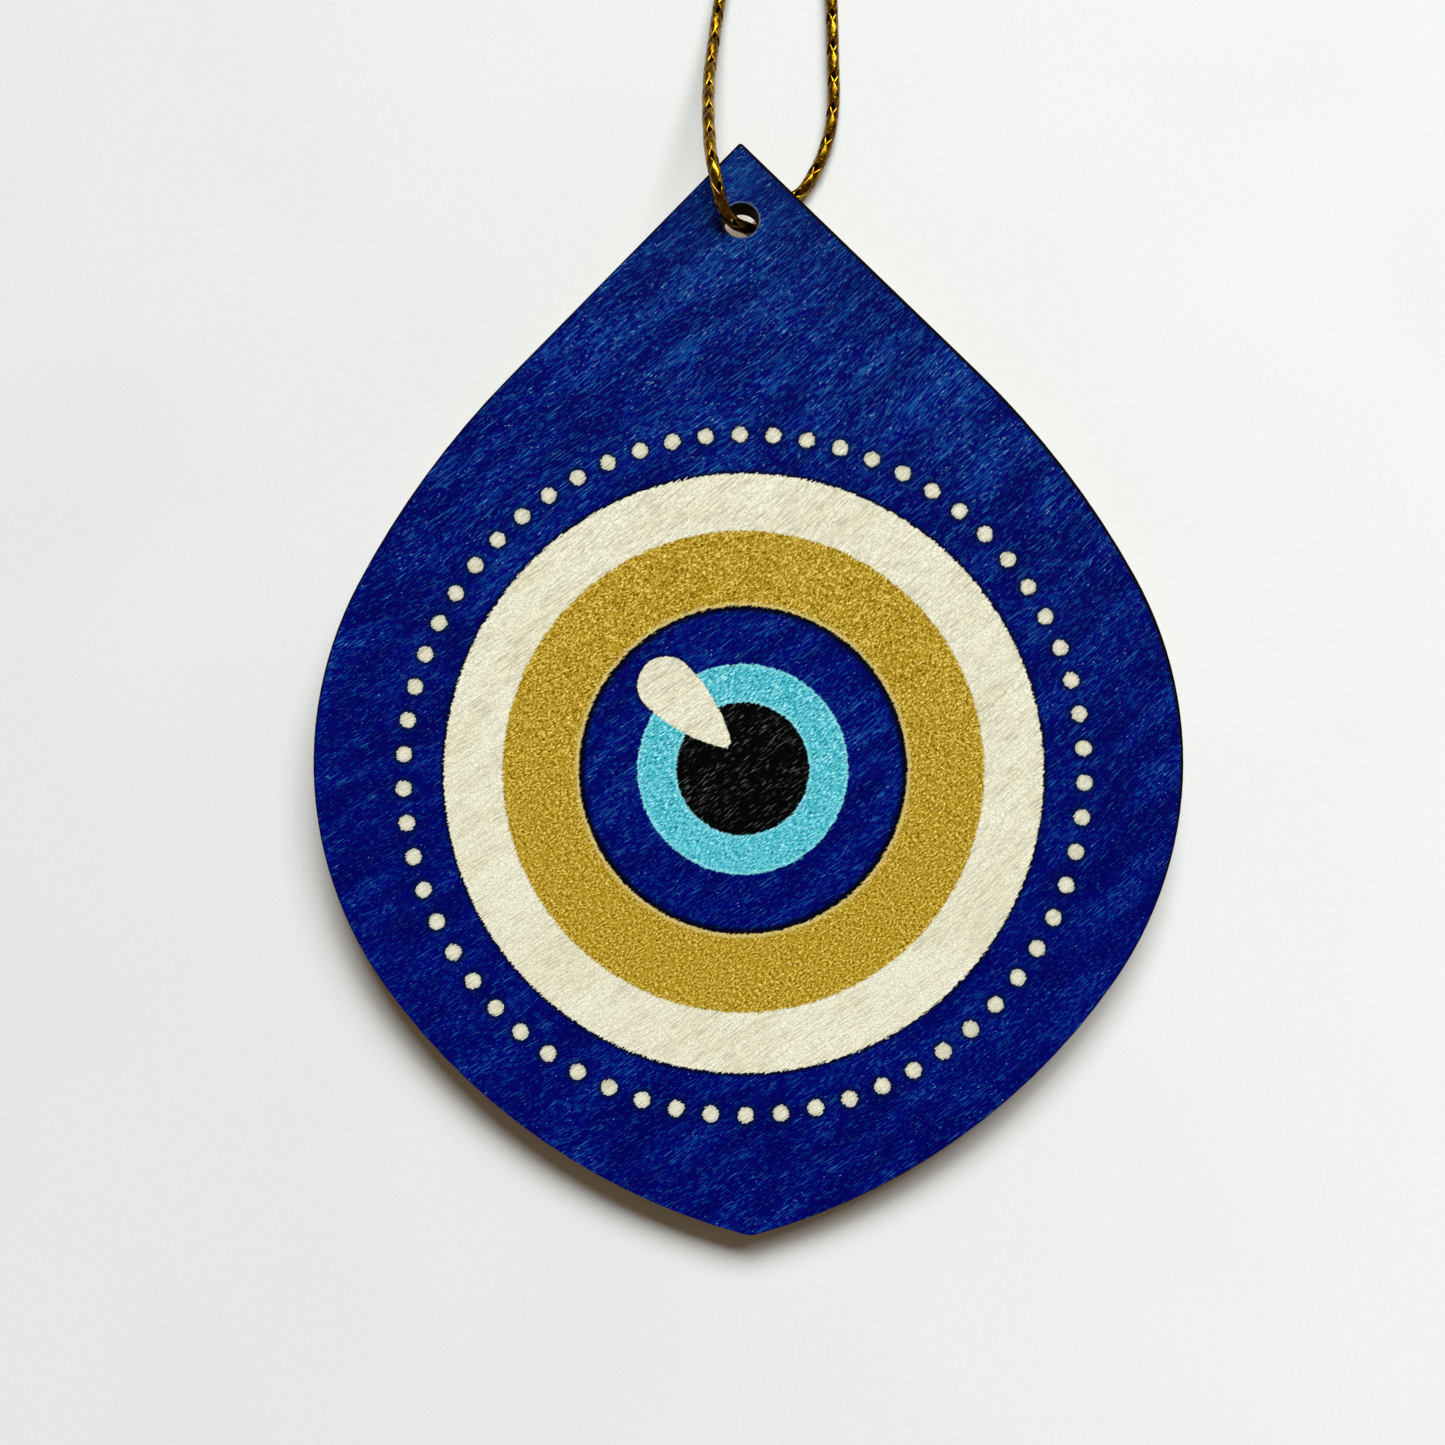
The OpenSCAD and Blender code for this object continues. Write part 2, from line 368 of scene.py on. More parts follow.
def new_group(name, inputs, outputs):
    """An empty node group with named sockets, and its Net, input node and output node."""
    tree = bpy.data.node_groups.new(name, "ShaderNodeTree")
    for key, kind, value in inputs:
        socket = tree.interface.new_socket(key, in_out="INPUT", socket_type=kind)
        if value is not None:
            socket.default_value = value
    for key, kind in outputs:
        tree.interface.new_socket(key, in_out="OUTPUT", socket_type=kind)
    net = Net(tree)
    return tree, net, net.node("NodeGroupInput"), net.node("NodeGroupOutput")


def use_group(net, tree, **values):
    """Places a group in a material with its own values."""
    made = net.node("ShaderNodeGroup", node_tree=tree)
    for key, value in values.items():
        net.put(made.inputs[key.replace("_", " ").title()], value)
    return made.outputs


def new_material(name):
    """A new material, with its Net and its shader node."""
    material = bpy.data.materials.new(name)
    material.use_nodes = True
    return material, Net(material.node_tree), material.node_tree.nodes["Principled BSDF"]


NUMBER, PLACE = "NodeSocketFloat", "NodeSocketVector"
print("node helper ready")

# %% [markdown]
# ## Grain
#
# The face veneer's grain shows through all the inks, and it runs from the lower left to the
# upper right. One group gives every ink the same grain: a place measured along and across the
# fibres, so that stretched noise becomes fibres, and four patterns made that way. Lines are long
# and dashes short, clusters say where the fibres crowd, and ragged is for the inks' borders.

# %% Grain group
GRAIN_ANGLE = math.radians(37.0)
GRAIN_BEND = 0.0015
GRAIN_WAVER = 2.2

grain_group, net, _, result = new_group(
    "face_grain", [],
    [("Plaque", PLACE), ("Fibres", PLACE), ("Lines", NUMBER), ("Dashes", NUMBER),
     ("Clusters", NUMBER), ("Ragged", NUMBER)])
plaque_mm = net.place_mm()
turned = net.turned(plaque_mm, -GRAIN_ANGLE)
parts = net.parts(turned)
bent = net.math("MULTIPLY_ADD", net.math("MULTIPLY", parts[0], parts[0]), -GRAIN_BEND, parts[1])
waver = net.stretched(turned, (0.05, 0.12, 0.12), 1.0)
bent = net.math("MULTIPLY_ADD", waver, GRAIN_WAVER, bent)
fibres = net.node("ShaderNodeCombineXYZ", {0: parts[0], 1: bent, 2: parts[2]}).outputs[0]
lines = net.stretched(fibres, (0.6, 11.0, 0.3), 2.0, 0.6)
dashes = net.stretched(fibres, (1.6, 11.0, 0.3), 2.0, 0.55)
clusters = net.stretched(fibres, (0.13, 0.42, 0.3), 2.0, 0.6)
ragged = net.stretched(fibres, (2.0, 9.0, 0.3), 1.0, 0.5)
for key, value in (("Plaque", plaque_mm), ("Fibres", fibres), ("Lines", lines),
                   ("Dashes", dashes), ("Clusters", clusters),
                   ("Ragged", net.math("SUBTRACT", ragged, 0.5))):
    net.put(result.inputs[key], value)
print("grain group:", len(grain_group.nodes), "nodes")

# %% [markdown]
# ## Where each ink ends
#
# Ink creeps a little along the fibres, so its borders aren't clean circles. Each border group
# gives the distance from a point to the border, in millimetres, with the grain's raggedness
# added. An ink paints its neighbour's colour where that distance says so, and dark or pale rims
# follow the same distance.

# %% Border groups
EYE_AT = (-0.3, -8.12, 0.0)
PUPIL_R, TURQUOISE_R, IRIS_R, GOLD_R, IVORY_R = 5.55, 8.8, 13.7, 20.1, 25.0
DOT_RING_R, DOT_COUNT, DOT_R = 28.4, 62, 0.65
DROP_R, DROP_OFFSET, DROP_SIDE_R, DROP_LEN = 2.4, 9.5, 13.7, 7.35
DROP_BEARING, DROP_AIM = math.radians(132.0), math.radians(-44.5)
HOLE_AT = (0.0, 39.06, 0.0)



def ragged_border(net, given, result, distance):
    """Gives a group's distance out, made ragged by its creep."""
    net.put(result.inputs["Distance"], net.math("MULTIPLY_ADD", given.outputs["Ragged"],
                                                given.outputs["Creep"], distance))


ring_group, net, given, result = new_group(
    "ring_border",
    [("Plaque", PLACE, None), ("Ragged", NUMBER, 0.0), ("Radius", NUMBER, 10.0),
     ("Creep", NUMBER, 0.5)],
    [("Distance", NUMBER)])
flat = net.vector("MULTIPLY", net.vector("SUBTRACT", given.outputs["Plaque"], EYE_AT), (1, 1, 0))
reach = net.math("SUBTRACT", net.vector("LENGTH", flat), given.outputs["Radius"])
ragged_border(net, given, result, reach)

dot_group, net, given, result = new_group(
    "dot_border",
    [("Plaque", PLACE, None), ("Ragged", NUMBER, 0.0), ("Creep", NUMBER, 0.5)],
    [("Distance", NUMBER)])
flat = net.parts(net.vector("SUBTRACT", given.outputs["Plaque"], EYE_AT))
bearing = net.math("ARCTAN2", flat[0], flat[1])
spacing = 2 * math.pi / DOT_COUNT
nearest = net.math("MULTIPLY", net.math("ROUND", net.math("DIVIDE", bearing, spacing)), spacing)
dot_x = net.math("MULTIPLY", net.math("SINE", nearest), DOT_RING_R)
dot_y = net.math("MULTIPLY", net.math("COSINE", nearest), DOT_RING_R)
from_dot = net.node("ShaderNodeCombineXYZ", {0: net.math("SUBTRACT", flat[0], dot_x),
                                             1: net.math("SUBTRACT", flat[1], dot_y)}).outputs[0]
reach = net.math("SUBTRACT", net.vector("LENGTH", from_dot), DOT_R)
ragged_border(net, given, result, reach)

drop_group, net, given, result = new_group(
    "drop_border",
    [("Plaque", PLACE, None), ("Ragged", NUMBER, 0.0), ("Creep", NUMBER, 0.5)],
    [("Distance", NUMBER)])
drop_at = (EYE_AT[0] + DROP_OFFSET * math.cos(DROP_BEARING),
           EYE_AT[1] + DROP_OFFSET * math.sin(DROP_BEARING), 0.0)
local = net.turned(net.vector("SUBTRACT", given.outputs["Plaque"], drop_at), -DROP_AIM)
local = net.vector("MULTIPLY", local, (1, 1, 0))
head = net.math("SUBTRACT", net.vector("LENGTH", local), DROP_R)
lens_offset = DROP_SIDE_R - DROP_R
lens = net.math("MAXIMUM", net.vector("DISTANCE", local, (0, lens_offset, 0)),
                net.vector("DISTANCE", local, (0, -lens_offset, 0)))
lens = net.math("SUBTRACT", lens, DROP_SIDE_R)
local_x = net.parts(local)[0]
taper = net.math("MAXIMUM", net.math("MAXIMUM", lens, net.math("SUBTRACT", local_x, DROP_LEN)),
                 net.math("MULTIPLY", local_x, -1.0))
reach = net.math("MINIMUM", head, taper)
ragged_border(net, given, result, reach)
print("border groups: ring, dot, drop")

# %% [markdown]
# ## The plaque's own edge
#
# The laser that cut the plaque burned a thin dark line along its edge. To draw that line, a
# material must know how far a point lies from the outline. The outline is a straight flank and
# three arcs on each side, so the distance comes from plain geometry, with no painted mask.

# %% Outline group
POINT_R, FLANK_ANGLE, FLANK_LEN = 0.3, math.radians(45.75), 28.35
ARCS = ((73.7, math.radians(17.05)), (32.0, math.radians(63.5)), (54.0, None))
POINT_Y = 45.84


def arc_centre(start, heading, radius):
    """The middle of an arc that leaves start with a given slope under the horizontal."""
    return start - radius * np.array((math.sin(heading), math.cos(heading)))


def arc_end(start, heading, radius, turn):
    """Where such an arc ends when it has turned down by an angle."""
    centre = arc_centre(start, heading, radius)
    return centre + radius * np.array((math.sin(heading + turn), math.cos(heading + turn)))


flank_start = arc_end(np.array((0.0, POINT_Y)), 0.0, POINT_R, FLANK_ANGLE)
corner = flank_start + FLANK_LEN * np.array((math.cos(FLANK_ANGLE), -math.sin(FLANK_ANGLE)))
heading = FLANK_ANGLE
edge_arcs = []
for radius, turn in ARCS:
    edge_arcs.append((corner[1], arc_centre(corner, heading, radius), radius))
    if turn is not None:
        corner = arc_end(corner, heading, radius, turn)
        heading += turn

edge_group, net, given, result = new_group(
    "outline_distance", [("Plaque", PLACE, None)], [("Inside", NUMBER)])
parts = net.parts(given.outputs["Plaque"])
right_x = net.math("ABSOLUTE", parts[0])
mirrored = net.node("ShaderNodeCombineXYZ", {0: right_x, 1: parts[1]}).outputs[0]
inside = net.math("MULTIPLY_ADD", right_x, -math.sin(FLANK_ANGLE),
                  net.math("MULTIPLY_ADD", parts[1], -math.cos(FLANK_ANGLE),
                           float(flank_start[0] * math.sin(FLANK_ANGLE)
                                 + flank_start[1] * math.cos(FLANK_ANGLE))))
for top_y, centre, radius in edge_arcs:
    to_arc = net.math("SUBTRACT", radius, net.vector("DISTANCE", mirrored,
                                                     (float(centre[0]), float(centre[1]), 0)))
    below = net.math("LESS_THAN", parts[1], float(top_y))
    inside = net.math("ADD", net.math("MULTIPLY", inside, net.math("SUBTRACT", 1.0, below)),
                      net.math("MULTIPLY", to_arc, below))
net.put(result.inputs[0], inside)
widest = edge_arcs[1][1][0] + edge_arcs[1][2]
print("outline from", len(edge_arcs), "arcs; half its width:", round(float(widest), 2), "mm")

# %% [markdown]
# ## Inks
#
# Each ink is flat and matt, because the bare wood drinks it in. What makes it look like printed
# wood is what shows in it: pale fibres that took no ink, dark pores, a ragged border and a rim
# where two inks meet. The material for each ink starts with the grain and adds those.

# %% Ink material helper
IVORY, IVORY_LINE = shade(238, 236, 212), shade(176, 170, 146)
IVORY_WHITE, IVORY_CREAM = shade(255, 254, 234), shade(249, 246, 220)
IVORY_MOTTLE = shade(206, 204, 174)
DOT_GREY, DOT_RIM = shade(205, 205, 190), shade(150, 155, 140)
GOLD, GOLD_DARK, GOLD_LIGHT = shade(182, 149, 32), shade(100, 70, 0), shade(250, 224, 120)
GOLD_RIM = shade(226, 212, 146)
BLUE, BLUE_DEEP, BLUE_POINT = shade(0, 4, 114), shade(0, 1, 90), shade(4, 34, 84)
BLUE_FLECK, BLUE_STREAK, PALE_FLECK = shade(8, 82, 158), shade(48, 124, 190), shade(132, 190, 218)
PALE_RIM_BLUE = shade(96, 112, 140)
RIM_AT_IVORY, RIM_AT_DOT, RIM_AT_GOLD = shade(1, 4, 30), shade(1, 14, 50), shade(1, 2, 12)
RIM_AT_DROP, RIM_AT_TURQUOISE, DROP_EDGE = shade(1, 4, 40), shade(1, 4, 60), shade(6, 14, 60)
TURQUOISE, TEAL, PALE_TURQUOISE = shade(72, 196, 214), shade(0, 100, 120), shade(186, 250, 255)
BLACK, SCRATCH, CHAR = shade(1, 2, 1), shade(112, 117, 114), shade(9, 7, 7)
GOLD_BLUR = 0.06
INK_ROUGH, INK_GLOSS, INK_RELIEF = 0.58, 0.03, 0.035
RING_CREEP, SHAPE_CREEP = 0.6, 0.35


def start_material(name, node_names):
    """A new material on the named CAD nodes, with its Net and shader node."""
    material, net, shader = new_material(name)
    for node_name in node_names:
        piece = nodes[node_name]
        piece.data.materials.clear()
        piece.data.materials.append(material)
    return net, shader


def finish_ink(net, shader, colour, grain):
    """Joins an ink's colour to the shader, with the grain as fine relief."""
    height = net.math("MULTIPLY_ADD", grain["Dashes"], 0.6, grain["Lines"])
    net.put(shader.inputs["Base Color"], colour)
    net.put(shader.inputs["Roughness"], net.math("MULTIPLY_ADD", grain["Dashes"], 0.25, INK_ROUGH))
    net.put(shader.inputs["Normal"], net.bump(height, 0.55, INK_RELIEF))
    shader.inputs["Specular IOR Level"].default_value = INK_GLOSS


def ring_distance(net, grain, radius):
    """How far a point lies outside a ring of ink, in millimetres."""
    return use_group(net, ring_group, plaque=grain["Plaque"], ragged=grain["Ragged"],
                     radius=radius, creep=RING_CREEP)["Distance"]


def shape_distance(net, grain, group):
    """How far a point lies outside the dots or the highlight, in millimetres."""
    return use_group(net, group, plaque=grain["Plaque"], ragged=grain["Ragged"],
                     creep=SHAPE_CREEP)["Distance"]


print("ink helpers ready")

# %% [markdown]
# ### Blue inks
#
# The ground and the iris are the same blue. Small teal dashes and a few pale ones lie along the
# fibres, more of them towards the point, and the ink is nearly black where it meets the ivory
# and the gold.

# %% Blue inks


def blue_paint(net, grain, density):
    """Blue ink with the flecks of bare fibre, thicker where density is higher."""
    base = net.mix(net.step(grain["Clusters"], 0.3, 0.7), BLUE_DEEP, BLUE)
    crowd = net.math("ADD", net.step(grain["Clusters"], 0.35, 0.7, -0.025, 0.03), density)
    dash = net.step(net.math("ADD", grain["Dashes"], crowd), 0.56, 0.66)
    colour = net.mix(net.math("MULTIPLY", dash, 0.8), base, BLUE_FLECK)
    streaks = net.stretched(grain["Fibres"], (0.6, 12.0, 0.3), 1.5)
    streak = net.step(net.math("ADD", streaks, crowd), 0.63, 0.72)
    colour = net.mix(net.math("MULTIPLY", streak, 0.75), colour, BLUE_STREAK)
    specks = net.stretched(grain["Fibres"], (2.4, 11.0, 0.3), 1.0)
    pale = net.step(net.math("ADD", specks, crowd), 0.71, 0.78)
    return net.mix(net.math("MULTIPLY", pale, 0.8), colour, PALE_FLECK)


net, shader = start_material("printed_blue", ["blue_ground"])
grain = use_group(net, grain_group)
place = net.parts(grain["Plaque"])
upper_right = net.math("ADD", place[1], place[0])
density = net.math("ADD", net.step(place[1], -10.0, 46.0, -0.02, 0.016),
                   net.step(upper_right, 8.0, 44.0, 0.0, 0.012))
colour = blue_paint(net, grain, density)
colour = net.mix(net.step(place[1], 30.0, 46.0, 0.0, 0.35), colour, BLUE_POINT)
to_ivory = ring_distance(net, grain, IVORY_R)
colour = net.mix(net.step(to_ivory, 0.15, 0.42, 0.92, 0.0), colour, RIM_AT_IVORY)
colour = net.mix(net.within(to_ivory), colour, IVORY)
to_dot = shape_distance(net, grain, dot_group)
colour = net.mix(net.step(to_dot, 0.1, 0.55, 0.75, 0.0), colour, RIM_AT_DOT)
colour = net.mix(net.within(to_dot), colour, IVORY)
inside = use_group(net, edge_group, plaque=grain["Plaque"])["Inside"]
char_up = net.step(place[1], -34.0, 4.0, 0.3, 1.0)
char_width = net.math("MULTIPLY", char_up, net.step(place[0], -4.0, 4.0, 0.12, 0.26))
char_depth = net.math("MULTIPLY_ADD", grain["Ragged"], -0.35, inside)
char = net.step(net.math("SUBTRACT", char_depth, char_width), -0.04, 0.06, 1.0, 0.0)
colour = net.mix(char, colour, CHAR)
# A thin pale bluish rim is drawn round the hole.
from_hole = net.vector("DISTANCE", net.vector("MULTIPLY", grain["Plaque"], (1, 1, 0)), HOLE_AT)
pale_hole_rim = net.step(net.math("MULTIPLY_ADD", grain["Ragged"], 0.4, from_hole), 1.62, 1.74, 0.65, 0.0)
colour = net.mix(pale_hole_rim, colour, PALE_RIM_BLUE)
finish_ink(net, shader, colour, grain)

net, shader = start_material("printed_iris", ["iris"])
grain = use_group(net, grain_group)
colour = blue_paint(net, grain, -0.012)
to_gold = ring_distance(net, grain, IRIS_R)
colour = net.mix(net.step(to_gold, -0.75, -0.25, 0.0, 0.95), colour, RIM_AT_GOLD)
colour = net.mix(net.beyond(to_gold), colour, GOLD)
to_turquoise = ring_distance(net, grain, TURQUOISE_R)
colour = net.mix(net.within(to_turquoise), colour, TURQUOISE)
to_drop = shape_distance(net, grain, drop_group)
colour = net.mix(net.step(to_drop, 0.1, 0.4, 0.7, 0.0), colour, RIM_AT_DROP)
colour = net.mix(net.within(to_drop), colour, IVORY)
finish_ink(net, shader, colour, grain)
print("blue inks on blue_ground and iris")

# %% [markdown]
# ### Ivory inks
#
# The ivory is the wood itself under a thin pale ink, so its fibres show as fine grey lines and
# its tone drifts between white and cream.

# %% Ivory inks


def ivory_paint(net, grain, line_strength):
    """Ivory ink over pale wood, with fine dark fibres."""
    warm = net.mix(net.step(grain["Clusters"], 0.35, 0.65), IVORY_WHITE, IVORY_CREAM)
    mottle = net.stretched(grain["Fibres"], (4.0, 8.0, 0.3), 2.0, 0.7)
    warm = net.mix(net.step(mottle, 0.60, 0.40, 0.0, 0.7), warm, IVORY_MOTTLE)
    thin = net.math("MULTIPLY_ADD", grain["Clusters"], -0.2, grain["Lines"])
    line = net.step(thin, 0.37, 0.29)
    return net.mix(net.math("MULTIPLY", line, line_strength), warm, IVORY_LINE)


net, shader = start_material("printed_ivory_ring", ["ivory_ring"])
grain = use_group(net, grain_group)
colour = ivory_paint(net, grain, 0.6)
to_gold = ring_distance(net, grain, GOLD_R)
colour = net.mix(net.within(to_gold, GOLD_BLUR), colour, GOLD)
to_blue = ring_distance(net, grain, IVORY_R)
colour = net.mix(net.beyond(to_blue), colour, RIM_AT_DROP)
finish_ink(net, shader, colour, grain)

net, shader = start_material("printed_highlight", ["highlight"])
grain = use_group(net, grain_group)
colour = ivory_paint(net, grain, 0.7)
to_drop = shape_distance(net, grain, drop_group)
colour = net.mix(net.beyond(to_drop), colour, DROP_EDGE)
finish_ink(net, shader, colour, grain)

net, shader = start_material("printed_dots", ["ivory_dots"])
grain = use_group(net, grain_group)
colour = net.mix(0.25, ivory_paint(net, grain, 0.8), DOT_GREY)
to_dot = shape_distance(net, grain, dot_group)
colour = net.mix(net.step(to_dot, -0.30, -0.02, 0.0, 0.45), colour, DOT_RIM)
colour = net.mix(net.beyond(to_dot), colour, RIM_AT_DOT)
finish_ink(net, shader, colour, grain)
print("ivory inks on ivory_ring, highlight and ivory_dots")

# %% [markdown]
# ### Gold, turquoise and black
#
# The gold looks like fine metal dust: a granular mix of ochre, bright yellow and brown. The
# turquoise is just as granular, and the black shows grey scratches of bare fibre.

# %% Gold, turquoise and black inks


def granular(net, grain, stretch, dark, middle, light):
    """Three shades mixed in grains, stretched a little along the fibres."""
    dust = net.stretched(grain["Fibres"], stretch, 2.5, 0.75)
    colour = net.mix(net.step(dust, 0.38, 0.47), dark, middle)
    return net.mix(net.step(dust, 0.54, 0.62), colour, light)


net, shader = start_material("printed_gold", ["gold_ring"])
grain = use_group(net, grain_group)
colour = granular(net, grain, (4.0, 6.4, 0.3), GOLD_DARK, GOLD, GOLD_LIGHT)
to_iris = ring_distance(net, grain, IRIS_R)
colour = net.mix(net.step(to_iris, 0.1, 0.45, 0.6, 0.0), colour, GOLD_RIM)
colour = net.mix(net.within(to_iris), colour, RIM_AT_GOLD)
to_ivory = ring_distance(net, grain, GOLD_R)
colour = net.mix(net.beyond(to_ivory, GOLD_BLUR), colour, IVORY)
finish_ink(net, shader, colour, grain)

net, shader = start_material("printed_turquoise", ["turquoise_ring"])
grain = use_group(net, grain_group)
colour = granular(net, grain, (2.6, 9.0, 0.3), TEAL, TURQUOISE, PALE_TURQUOISE)
to_iris = ring_distance(net, grain, TURQUOISE_R)
colour = net.mix(net.step(to_iris, -0.35, 0.0, 0.0, 0.35), colour, PALE_TURQUOISE)
colour = net.mix(net.beyond(to_iris), colour, RIM_AT_TURQUOISE)
to_pupil = ring_distance(net, grain, PUPIL_R)
colour = net.mix(net.step(to_pupil, 0.0, 0.35, 0.35, 0.0), colour, PALE_TURQUOISE)
colour = net.mix(net.within(to_pupil), colour, BLACK)
to_drop = shape_distance(net, grain, drop_group)
colour = net.mix(net.within(to_drop), colour, IVORY)
finish_ink(net, shader, colour, grain)

net, shader = start_material("printed_black", ["pupil"])
grain = use_group(net, grain_group)
thin = net.stretched(grain["Fibres"], (1.0, 13.0, 0.3), 1.5)
scratch = net.step(net.math("MULTIPLY_ADD", grain["Clusters"], 0.15, thin), 0.69, 0.79)
colour = net.mix(net.math("MULTIPLY", scratch, 0.85), BLACK, SCRATCH)
to_turquoise = ring_distance(net, grain, PUPIL_R)
colour = net.mix(net.beyond(to_turquoise), colour, TURQUOISE)
to_drop = shape_distance(net, grain, drop_group)
colour = net.mix(net.within(to_drop), colour, IVORY)
finish_ink(net, shader, colour, grain)
print("gold, turquoise and black inks done")

# %% [markdown]
# ## Plywood
#
# Three veneers are glued together, the middle one with its grain the other way. From the side
# they show as three bands, browned by the laser, and from below the back veneer is bare wood.
# Inside the hole the wall is nearly black: laser soot, with painted shade for the hole's depth.

# %% Veneers
PALE_WOOD, TAN_WOOD = shade(214, 178, 132), shade(176, 134, 88)
PALE_CORE, TAN_CORE = shade(196, 156, 108), shade(150, 108, 68)
PORE = shade(96, 66, 40)
BURNT, BURNT_LIGHT, BURNT_FIBRE = shade(52, 33, 20), shade(112, 76, 46), shade(150, 108, 68)
HOLE_SOOT_AND_SHADE = shade(22, 13, 8)
VENEER_ANGLE, QUARTER_TURN = 0.65, 1.57


def veneer(name, node_name, pale, dark, angle):
    """Bare wood with fibres at an angle, a scorched cut edge, and soot with painted shade in the
    hole.
    """
    net, shader = start_material(name, [node_name])
    here = net.place_mm()
    turned = net.turned(here, -angle)
    broad = net.stretched(turned, (0.06, 0.7, 2.0), 3.0, 0.6)
    fine = net.stretched(turned, (0.5, 7.0, 7.0), 2.0, 0.6)
    tone = net.math("MULTIPLY_ADD", fine, 0.5, net.math("MULTIPLY", broad, 0.6))
    wood = net.mix(net.step(tone, 0.38, 0.68), dark, pale)
    pores = net.step(fine, 0.36, 0.28)
    wood = net.mix(net.math("MULTIPLY", pores, 0.5), wood, PORE)
    facing = net.parts(net.node("ShaderNodeNewGeometry").outputs["True Normal"])[2]
    cut = net.step(net.math("ABSOLUTE", facing), 0.9, 0.5)
    smoke = net.stretched(here, (0.35, 0.35, 1.5), 3.0, 0.6)
    scorch_and_shade = net.mix(net.step(smoke, 0.35, 0.65), BURNT, BURNT_LIGHT)
    scorch_and_shade = net.mix(net.math("MULTIPLY", net.step(fine, 0.45, 0.65), 0.5), scorch_and_shade, BURNT_FIBRE)
    # The hole's wall is made almost black: partly laser soot, partly painted shade for the hole's
    # depth.
    from_hole = net.vector("DISTANCE", net.vector("MULTIPLY", here, (1, 1, 0)), HOLE_AT)
    scorch_and_shade = net.mix(net.step(from_hole, 1.8, 2.4, 0.92, 0.0), scorch_and_shade, HOLE_SOOT_AND_SHADE)
    colour = net.mix(cut, wood, scorch_and_shade)
    net.put(shader.inputs["Base Color"], colour)
    net.put(shader.inputs["Roughness"], net.math("MULTIPLY_ADD", fine, 0.2, 0.55))
    net.put(shader.inputs["Normal"], net.bump(tone, 0.5, 0.06))
    shader.inputs["Specular IOR Level"].default_value = 0.06


veneer("back_veneer_wood", "back_ply", PALE_WOOD, TAN_WOOD, VENEER_ANGLE)
veneer("core_veneer_wood", "core_ply", PALE_CORE, TAN_CORE, VENEER_ANGLE + QUARTER_TURN)
veneer("face_veneer_wood", "face_ply", PALE_WOOD, TAN_WOOD, VENEER_ANGLE)
print("three veneers")

# %% [markdown]
# ## Metallic thread
#
# The ribbons of the cord are thin plastic film with a gold coat. They are smooth and metallic,
# so they look dark where they reflect the room and flash where they catch the lamps.

# %% Metallic thread
FILM_BROWN, FILM_GOLD, FILM_DARK = shade(118, 78, 0), shade(164, 128, 22), shade(64, 38, 0)


def metallic_thread(name, piece):
    """Gold film with fine dark filaments, on one piece."""
    material, net, shader = new_material(name)
    here = net.place_mm()
    tint = net.noise(here, 1.1, 2.0)
    film = net.mix(net.step(tint, 0.35, 0.65), FILM_BROWN, FILM_GOLD)
    filaments = net.stretched(here, (14, 3.5, 14), 2.0, 0.6)
    film = net.mix(net.step(filaments, 0.55, 0.35, 0.0, 0.65), film, FILM_DARK)
    net.put(shader.inputs["Base Color"], film)
    net.put(shader.inputs["Normal"], net.bump(filaments, 0.35, 0.03))
    net.put(shader.inputs["Roughness"], net.math("MULTIPLY_ADD", filaments, 0.2, 0.10))
    shader.inputs["Metallic"].default_value = 1.0
    piece.data.materials.append(material)


metallic_thread("gold_film_cord", hang_cord)
metallic_thread("gold_film_knot", knot)
print("metallic thread on cord and knot")

# %% [markdown]
# ## The surface and the light
#
# The plaque lies on plain pale paper. Its shadow is short and soft, so the light is broad and
# comes from beyond the plaque's point. Two sun lamps with wide discs give the shadow the same
# softness everywhere, and a dim, warm sky fills it. The camera alone sees the sky as pale grey.

# %% Paper surface
floor_mesh = bpy.data.meshes.new("paper_surface")
FLOOR_REACH, FLOOR_Z = 1.6, -0.00002
floor_corners = [(x * FLOOR_REACH, y * FLOOR_REACH, FLOOR_Z)
                 for x, y in ((-1, -1), (1, -1), (1, 1), (-1, 1))]
floor_mesh.from_pydata(floor_corners, [], [(0, 1, 2, 3)])
floor = bpy.data.objects.new("paper_surface", floor_mesh)
bpy.context.scene.collection.objects.link(floor)
PAPER_COOL, PAPER_PALE = shade(236, 240, 239), shade(240, 242, 242)
PAPER_TOOTH = shade(210, 212, 210)
paper, net, shader = new_material("pale_paper")
here = net.place_mm()
tooth = net.noise(here, 2.6, 3.0, 0.6)
cloud = net.noise(here, 0.045, 1.0)
paper_tone = net.mix(net.step(cloud, 0.3, 0.7), PAPER_COOL, PAPER_PALE)
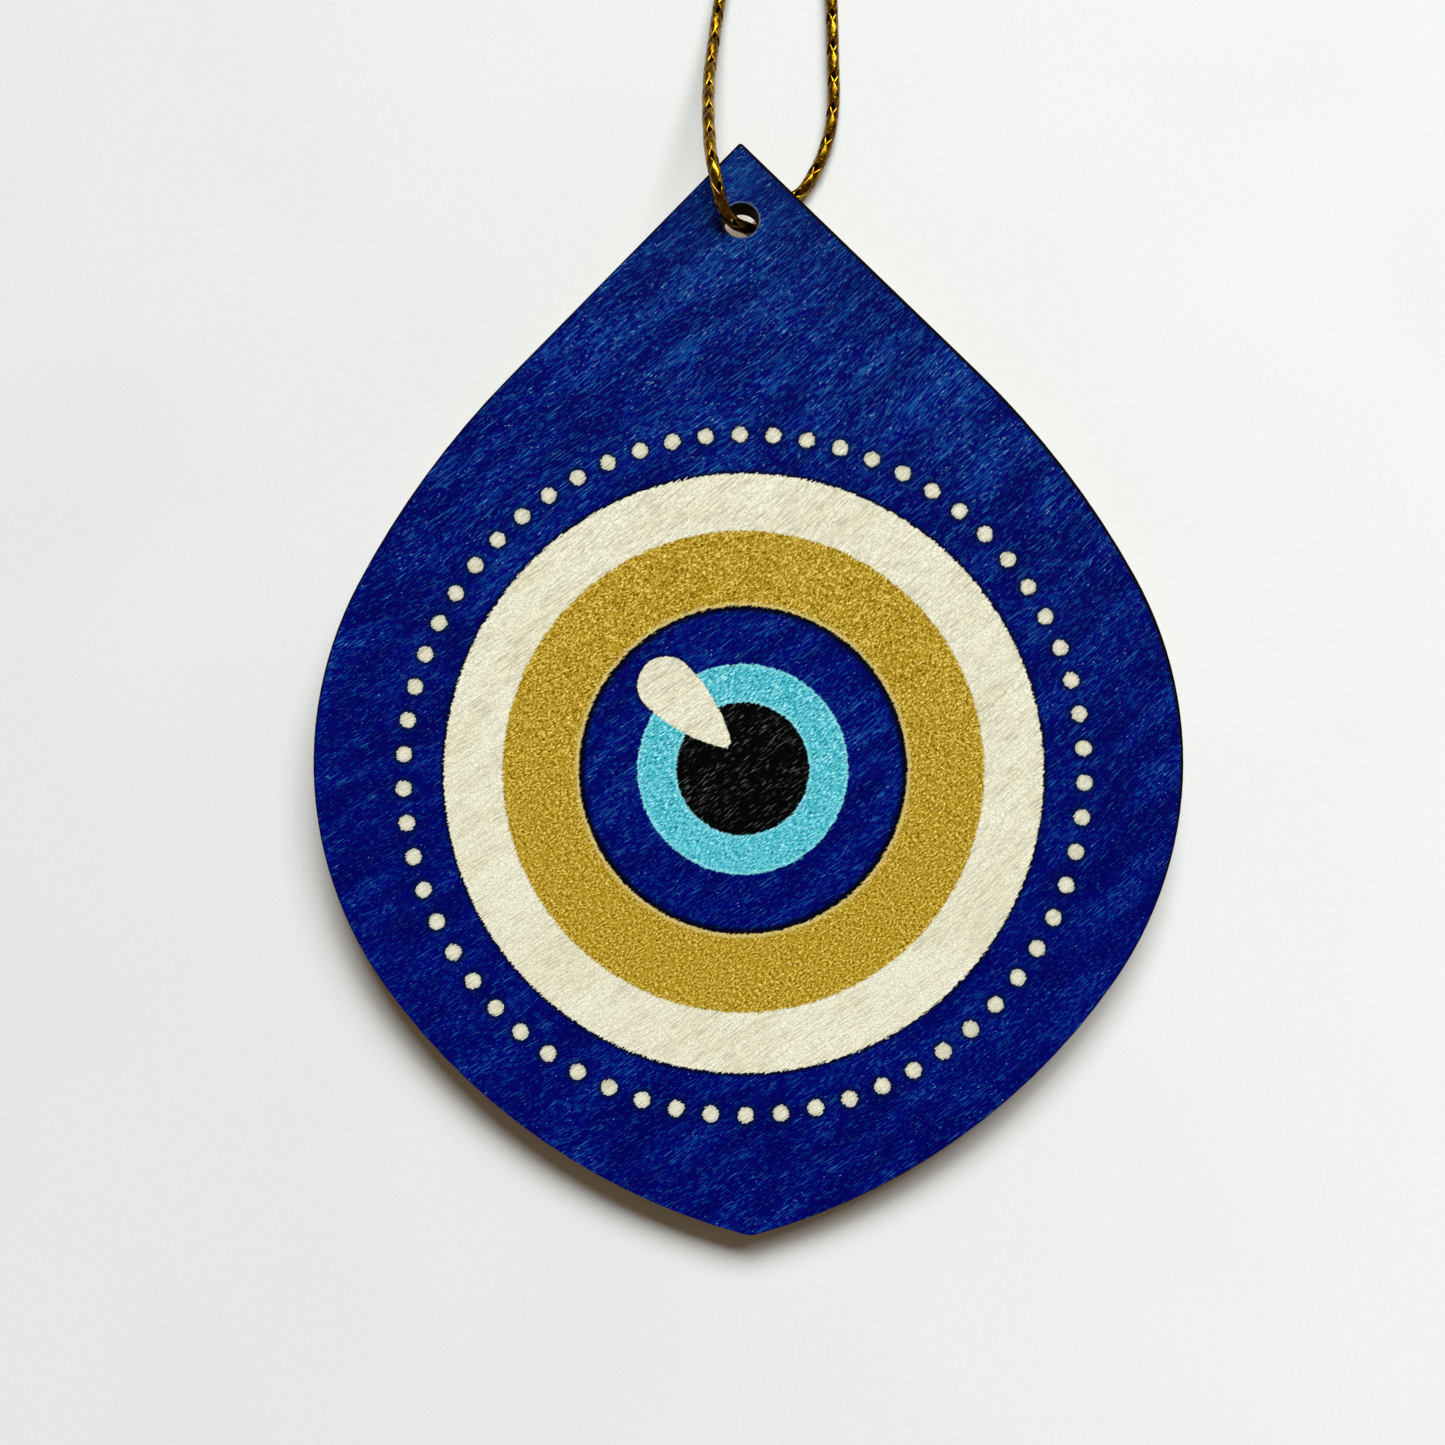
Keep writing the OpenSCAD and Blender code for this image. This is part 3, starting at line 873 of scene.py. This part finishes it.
paper_tone = net.mix(net.step(tooth, 0.3, 0.7, 0.0, 0.10), paper_tone, PAPER_TOOTH)
place = net.parts(here)
# The paper is painted brighter towards the right and the top: painted light, standing in for lamp
# light that falls more strongly there.
across = net.math("MULTIPLY_ADD", place[1], 0.5, place[0])
painted_light_level = net.math("MULTIPLY_ADD", net.step(across, -110.0, 110.0), 0.17, 0.915)
painted_light_grey = net.node("ShaderNodeCombineXYZ", {0: painted_light_level, 1: painted_light_level, 2: painted_light_level}).outputs[0]
net.put(shader.inputs["Base Color"], net.mix(1.0, paper_tone, painted_light_grey, blend="MULTIPLY"))
net.put(shader.inputs["Normal"], net.bump(tooth, 0.3, 0.04))
shader.inputs["Roughness"].default_value = 0.9
shader.inputs["Specular IOR Level"].default_value = 0.1
floor_mesh.materials.append(paper)
print("paper surface", 2 * FLOOR_REACH, "m wide")

# %% Lamps and sky
DAYLIGHT = (0.95, 0.985, 1.0)
SKY_FILL, SKY_SEEN = (0.14, 0.10, 0.065, 1), (0.84, 0.85, 0.84, 1)


def sun_lamp(name, azimuth, elevation, strength, disc):
    """A sun lamp that shines from an azimuth (0 is +X, 90 is +Y) and an elevation, in degrees."""
    data = bpy.data.lights.new(name, "SUN")
    data.energy = strength
    data.angle = math.radians(disc)
    data.color = DAYLIGHT
    lamp = bpy.data.objects.new(name, data)
    turn, rise = math.radians(azimuth), math.radians(elevation)
    towards = Vector((math.cos(turn) * math.cos(rise), math.sin(turn) * math.cos(rise),
                      math.sin(rise)))
    lamp.rotation_euler = towards.to_track_quat("Z", "Y").to_euler()
    lamp.location = towards * 0.6
    bpy.context.scene.collection.objects.link(lamp)


sun_lamp("window_high", 90, 41, 2.53, 26)
sun_lamp("window_right", 58, 40, 1.88, 28)

world = bpy.data.worlds.new("pale_room")
bpy.context.scene.world = world
world.use_nodes = True
net = Net(world.node_tree)
sky = world.node_tree.nodes["Background"]
rays = net.node("ShaderNodeLightPath")
net.put(sky.inputs["Color"], net.mix(rays.outputs["Is Camera Ray"], SKY_FILL, SKY_SEEN))
bpy.context.scene.view_settings.view_transform = "Standard"
print("two lamps and a sky")
